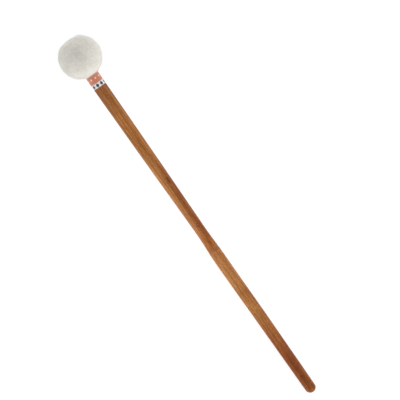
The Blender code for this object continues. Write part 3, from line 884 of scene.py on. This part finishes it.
def make_felt_ball():
    """Thick outer felt of the head, lumpy, gathered at crown and neck, pressed flat below."""
    rows = []
    for index in range(SKIN_ROWS + 1):
        share = index / SKIN_ROWS
        down = NECK_ANGLE * ((1 - SKIN_CROWDING) * share + SKIN_CROWDING * share * share)
        around = SKIN_SIDES if index else 1
        rows.append([felt_skin(down, math.tau * k / SKIN_SIDES)[0] for k in range(around)])
    inside = [
        (NECK - LIP_OVERHANG, NECK_LIP_RADIUS),
        (POCKET_REAR, NECK_LIP_RADIUS),
        (POCKET_REAR, POCKET_RADIUS),
        (POCKET_FRONT, POCKET_RADIUS),
        (POCKET_FRONT, DISC_RADIUS + CLEARANCE),
        (SHAFT_LENGTH, DISC_RADIUS + CLEARANCE),
        (SHAFT_LENGTH, WRAP_OUTER_RADIUS + CLEARANCE),
        (FRONT_DISC_REAR, WRAP_OUTER_RADIUS + CLEARANCE),
        (FRONT_DISC_REAR, DISC_RADIUS + CLEARANCE),
        (FRONT_DISC_FRONT + CLEARANCE, DISC_RADIUS + CLEARANCE),
        (FRONT_DISC_FRONT + CLEARANCE, 0.0),
    ]
    rows += ring_rows(inside, SKIN_SIDES)
    white_felt = felt("white_felt", *WHITE_FELT_TONES)
    piece = add_piece(turned_mesh("felt_ball", rows), white_felt)
    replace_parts(piece, "felt_cover")


def clear_of_shaft(point):
    """Move a point of a fibre out to the face of the culm or its sleeve, if it lies inside."""
    if point.x > NECK + SHAFT_GAP_REACH:
        return
    least = culm_radius(point.x) + SHAFT_GAP
    distance = math.hypot(point.y, point.z)
    if distance < least:
        point.y *= least / distance
        point.z *= least / distance


def make_nap(name, wool, settings, bent=True):
    """Raised nap: wool fibres over the ball's skin, each a closed tapered sliver.

    Straight fibres are slim pyramids, bent ones have a ring of points at their middle too.
    """
    seed, count, shortest, longest, radius, highest, lowest, inward = settings
    draw = random.Random(seed)
    verts, faces, places = [], [], []
    for number in range(1, count + 1):
        down = math.acos(draw.uniform(math.cos(lowest), math.cos(highest)))
        angle = draw.uniform(0.0, math.tau)
        root, out = felt_skin(down, angle)
        length = draw.uniform(shortest, longest)
        lift = draw.uniform(*FIBRE_LIFT)
        sway = Vector((draw.gauss(0, 1), draw.gauss(0, 1), draw.gauss(0, 1)))
        sway += SWIRL_STRENGTH * noise.noise_vector(root * SWIRL_SCALE)
        sway -= inward * Vector((0.0, root.y, root.z)).normalized()
        sway = (sway - out * sway.dot(out)).normalized()
        spread = math.sqrt(1 - lift * lift)
        crown = math.hypot(root.y, root.z) / SHORT_WITHIN
        if root.x > BALL_CENTRE and crown < 1:
            length *= SHORTEST_SHARE + (1 - SHORTEST_SHARE) * crown
        start = root - out * ROOT_DEPTH
        middle = root + length * (MIDDLE_OUT * lift * out + MIDDLE_OVER * spread * sway)
        tip = root + length * (TIP_OUT * lift * out + spread * sway)
        if (LAY @ tip).z < FLOOR_GAP or (LAY @ middle).z < FLOOR_GAP:
            continue
        clear_of_shaft(middle)
        clear_of_shaft(tip)
        side = out.cross(sway)
        first = len(verts)
        rings = [(start, radius)]
        if bent:
            rings.append((middle, MIDDLE_THICKNESS * radius))
        for centre, thickness in rings:
            for k in range(3):
                turn = math.tau * k / 3
                aside = math.cos(turn) * side + math.sin(turn) * out.cross(side)
                verts.append(centre + thickness * aside)
        verts.append(tip)
        corners = [((first + 2, first + 1, first), CELL_END)]
        top = first + 3 * (len(rings) - 1)
        u = CELL_MIDDLE if bent else CELL_ROOT
        for k in range(3):
            after = (k + 1) % 3
            low = CELL_SIDE_LOW + CELL_SIDE_PITCH * k
            high = CELL_SIDE_HIGH + CELL_SIDE_PITCH * k
            if bent:
                face = (first + k, first + after, top + after, top + k)
                spots = ((CELL_ROOT, low), (CELL_ROOT, high), (u, high), (u, low))
                corners.append((face, spots))
            face = (top + k, top + after, top + 3)
            corners.append((face, ((u, low), (u, high), (CELL_TIP, (low + high) / 2))))
        column, line = number % NAP_CELLS, number // NAP_CELLS % NAP_CELLS
        for face, spots in corners:
            faces.append(face)
            places.extend(((column + u) / NAP_CELLS, (line + v) / NAP_CELLS) for u, v in spots)
    add_piece(new_mesh(name, verts, faces, places), wool)


def make_naps():
    """Dense nap all over, long loose fibres, and more of them at the neck and the crown."""
    wool = nap_fibre("wool_fibre", 0.0)
    clean_wool = nap_fibre("clean_wool_fibre", LOOSE_WOOL_CLEANNESS)
    make_nap("felt_nap", wool, DENSE_NAP, bent=False)
    make_nap("felt_long_nap", clean_wool, LONG_NAP)
    make_nap("felt_neck_nap", clean_wool, NECK_NAP)
    make_nap("felt_crown_nap", clean_wool, CROWN_NAP)


def make_inner_felts():
    """The hard felts inside the head: two discs and the strip round the core."""
    hard = felt("hard_felt", *HARD_FELT_TONES, HARD_FELT_FINENESS)

    def rounded(rear, front, inner):
        """Outline of a disc with rounded edges and a rim that bulges a little."""
        rim = DISC_RADIUS - DISC_ROUNDING
        back, fore = rear + DISC_ROUNDING, front - DISC_ROUNDING
        outline = [(rear, inner)]
        outline += arc(back, rim, DISC_ROUNDING, math.pi, math.pi / 2, DISC_ARC_STEPS)
        outline.append(((rear + front) / 2, DISC_RADIUS + DISC_BULGE))
        outline += arc(fore, rim, DISC_ROUNDING, math.pi / 2, 0.0, DISC_ARC_STEPS)
        outline.append((front, inner))
        return outline

    rear = ring_rows(rounded(REAR_DISC_REAR, SHAFT_LENGTH, NECK_BORE_RADIUS), DISC_SIDES)
    mesh = turned_mesh("rear_disc_felt", rear, closed=True)
    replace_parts(add_piece(mesh, hard), "rear_felt_disc")

    front = ring_rows(rounded(FRONT_DISC_REAR, FRONT_DISC_FRONT, 0.0), DISC_SIDES)
    mesh = turned_mesh("front_disc_felt", front)
    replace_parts(add_piece(mesh, hard), "front_felt_disc")

    gap = WRAP_JOINT / WRAP_INNER_RADIUS
    rim = WRAP_OUTER_RADIUS - WRAP_ROUNDING
    back, fore = CORE_REAR + WRAP_ROUNDING, CORE_FRONT - WRAP_ROUNDING
    section = arc(back, rim, WRAP_ROUNDING, math.pi, math.pi / 2, WRAP_ARC_STEPS)
    section += arc(fore, rim, WRAP_ROUNDING, math.pi / 2, 0.0, WRAP_ARC_STEPS)
    section += [(CORE_FRONT, WRAP_INNER_RADIUS), (CORE_REAR, WRAP_INNER_RADIUS)]
    verts, faces = [], []
    for step in range(WRAP_STEPS + 1):
        angle = gap / 2 + (math.tau - gap) * step / WRAP_STEPS
        verts += [on_axis(x, r, angle) for x, r in section]
    count = len(section)
    for step in range(WRAP_STEPS):
        for k in range(count):
            a, b = step * count + k, step * count + (k + 1) % count
            faces.append((a, b, b + count, a + count))
    faces.append(tuple(range(count)))
    faces.append(tuple(reversed(range(WRAP_STEPS * count, (WRAP_STEPS + 1) * count))))
    mesh = new_mesh("core_wrap_felt", verts, faces, sharp=40)
    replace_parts(add_piece(mesh, hard), "inner_felt_wrap")


def twisted_thread(name, path, diameter, twist_length, material):
    """Two plies twisted round each other along a path, each a closed tube."""
    ply_radius = diameter / 4
    verts, faces = [], []
    length = [0.0]
    for near, far in zip(path, path[1:]):
        length.append(length[-1] + (far - near).length)
    for ply in range(2):
        first = len(verts)
        for index, point in enumerate(path):
            before, after = path[max(index - 1, 0)], path[min(index + 1, len(path) - 1)]
            ahead = (after - before).normalized()
            across = ahead.cross(Vector((1.0, 0.0, 0.0))).normalized()
            up = across.cross(ahead)
            turn = math.tau * length[index] / twist_length + math.pi * ply
            aside = math.cos(turn) * across + math.sin(turn) * up
            centre = point + ply_radius * PLY_NESTING * aside
            for k in range(PLY_SIDES):
                spot = math.tau * k / PLY_SIDES
                verts.append(centre + ply_radius * (math.cos(spot) * across + math.sin(spot) * up))
        for index in range(len(path) - 1):
            for k in range(PLY_SIDES):
                a = first + index * PLY_SIDES + k
                b = first + index * PLY_SIDES + (k + 1) % PLY_SIDES
                faces.append((a, b, b + PLY_SIDES, a + PLY_SIDES))
        last = first + (len(path) - 1) * PLY_SIDES
        faces.append(tuple(reversed(range(first, first + PLY_SIDES))))
        faces.append(tuple(range(last, last + PLY_SIDES)))
    return add_piece(new_mesh(name, verts, faces), material)


def make_threads():
    """Draw threads at the neck and at the crown."""
    twine = cotton()
    points = []
    pitch = NECK_THREAD_DIAMETER + THREAD_GAP
    start = POCKET_REAR + CLEARANCE + NECK_THREAD_DIAMETER / 2
    radius = NECK_BORE_RADIUS + NECK_THREAD_DIAMETER / 2
    for index in range(NECK_THREAD_TURNS * NECK_THREAD_STEPS + 1):
        turn = index / NECK_THREAD_STEPS
        points.append(on_axis(start + turn * pitch, radius, math.tau * turn))
    piece = twisted_thread("neck_twine", points, NECK_THREAD_DIAMETER, NECK_THREAD_TWIST, twine)
    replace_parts(piece, "neck_thread")

    points = []
    pitch = CROWN_THREAD_DIAMETER + THREAD_GAP
    for index in range(CROWN_THREAD_TURNS * CROWN_THREAD_STEPS + 1):
        turn = index / CROWN_THREAD_STEPS
        r = CROWN_THREAD_INNER_RADIUS + pitch * turn
        below, out = felt_skin(math.asin(r / BALL_RADIUS), math.tau * turn)
        points.append(below + out * (CROWN_THREAD_DIAMETER / 2 + CROWN_THREAD_LIFT))
    piece = twisted_thread("crown_twine", points, CROWN_THREAD_DIAMETER, CROWN_THREAD_TWIST, twine)
    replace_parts(piece, "crown_thread")


def make_label():
    """Printed sleeve, lapped over itself in one line underneath."""

    def lapped(x, r, angle):
        """Point of the sleeve, thicker in the lap's line."""
        if r > culm_radius(x) - LABEL_THICKNESS / 2:
            r += LAP_HEIGHT * (1 - smooth_step(abs((angle - LAP_ANGLE) / LAP_HALF_ANGLE)))
        return on_axis(x, r, angle)

    rear, front = culm_radius(LABEL_REAR), culm_radius(LABEL_FRONT)
    outline = [
        (LABEL_REAR, rear - LABEL_THICKNESS),
        (LABEL_REAR, rear - LABEL_RIM + LABEL_PROUD),
        (LABEL_REAR + LABEL_RIM, rear + LABEL_PROUD),
    ]
    for x in spaced(LABEL_REAR + LABEL_STEP, LABEL_FRONT - LABEL_STEP, LABEL_STEP):
        outline.append((x, culm_radius(x) + LABEL_PROUD))
    outline += [
        (LABEL_FRONT - LABEL_RIM, front + LABEL_PROUD),
        (LABEL_FRONT, front - LABEL_RIM + LABEL_PROUD),
        (LABEL_FRONT, front - LABEL_THICKNESS),
    ]
    mesh = turned_mesh("label_sleeve", ring_rows(outline, LABEL_SIDES, lapped), closed=True)
    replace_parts(add_piece(mesh, label_print()), "name_label")


def finish_wood():
    """Better materials for the solids that keep their shape."""
    for name, material in (
        ("butt_plug", end_grain()),
        ("head_dowel", bare_wood("dowel_wood", *DOWEL_TONES)),
        ("core", bare_wood("core_wood", *CORE_TONES)),
    ):
        for slot in frame["nodes"][name].material_slots:
            slot.material = material


def make_floor():
    """White floor, which keeps the mallet's shadow."""
    half = FLOOR_SIZE / 2
    corners = [(-half, -half, 0.0), (half, -half, 0.0), (half, half, 0.0), (-half, half, 0.0)]
    mesh = bpy.data.meshes.new("floor")
    mesh.from_pydata(corners, [], [(0, 1, 2, 3)])
    floor = bpy.data.objects.new("floor", mesh)
    bpy.context.scene.collection.objects.link(floor)
    nodes = material_nodes("floor")
    nodes.tree.nodes.remove(nodes.shader)
    sides = []
    for albedo, glow in ((FLOOR_ALBEDO, FLOOR_GLOW), (FLOOR_SEEN_ALBEDO, FLOOR_SEEN_GLOW)):
        lit = nodes.add("BsdfDiffuse", {"Color": (albedo,) * 3}).outputs[0]
        glowing = nodes.add("Emission", {"Color": WHITE, "Strength": glow}).outputs[0]
        sides.append(nodes.add("AddShader", {0: lit, 1: glowing}).outputs[0])
    mixed = nodes.add("MixShader", {0: nodes.seen(), 1: sides[0], 2: sides[1]}).outputs[0]
    nodes.put(nodes.tree.nodes["Material Output"].inputs["Surface"], mixed)
    mesh.materials.append(nodes.owner)


def make_surroundings():
    """Dome of soft light, brighter towards the horizon, in front of a white backdrop."""
    world = bpy.data.worlds.new("studio")
    bpy.context.scene.world = world
    nodes = Nodes(world)
    nodes.tree.nodes.clear()
    height = nodes.axes(nodes.add("TexCoord", {}).outputs["Generated"])[2]
    strengths = {"Value": height, "To Min": HORIZON_STRENGTH, "To Max": ZENITH_STRENGTH}
    strength = nodes.add("MapRange", strengths).outputs["Result"]
    dome = nodes.add("Background", {"Color": WHITE, "Strength": strength}).outputs[0]
    backdrop = nodes.add("Background", {"Color": WHITE, "Strength": 1.0}).outputs[0]
    mixed = nodes.add("MixShader", {0: nodes.seen(), 1: dome, 2: backdrop}).outputs[0]
    nodes.add("OutputWorld", {"Surface": mixed})


def make_lamp():
    """Soft square lamp that faces the mallet."""
    data = bpy.data.lights.new("key", "AREA")
    data.shape = "SQUARE"
    data.size = LAMP_WIDTH
    data.energy = LAMP_POWER
    lamp = bpy.data.objects.new("key", data)
    bpy.context.scene.collection.objects.link(lamp)
    lamp.location = LAMP_PLACE
    lamp.rotation_mode = "QUATERNION"
    lamp.rotation_quaternion = (LAMP_AIM - LAMP_PLACE).to_track_quat("-Z", "Y")


def make_camera():
    """Camera over the mallet, rolled as in the picture."""
    back = Vector((math.sin(CAMERA_TILT), 0.0, math.cos(CAMERA_TILT)))
    towards_head = LEFT.cross(back)
    right = math.cos(CAMERA_ROLL) * towards_head + math.sin(CAMERA_ROLL) * LEFT
    up = back.cross(right)
    data = bpy.data.cameras.new("camera")
    data.lens = CAMERA_LENS
    data.clip_end = CAMERA_CLIP_END
    camera = bpy.data.objects.new("camera", data)
    bpy.context.scene.collection.objects.link(camera)
    turn = Matrix((right, up, back)).transposed().to_4x4()
    camera.matrix_world = Matrix.Translation(CAMERA_TARGET + CAMERA_DISTANCE * back) @ turn
    bpy.context.scene.camera = camera


make_camera()
make_floor()
make_surroundings()
make_lamp()
make_shaft()
make_felt_ball()
make_naps()
make_inner_felts()
make_threads()
make_label()
finish_wood()

view_settings = bpy.context.scene.view_settings
view_settings.view_transform = "Standard"
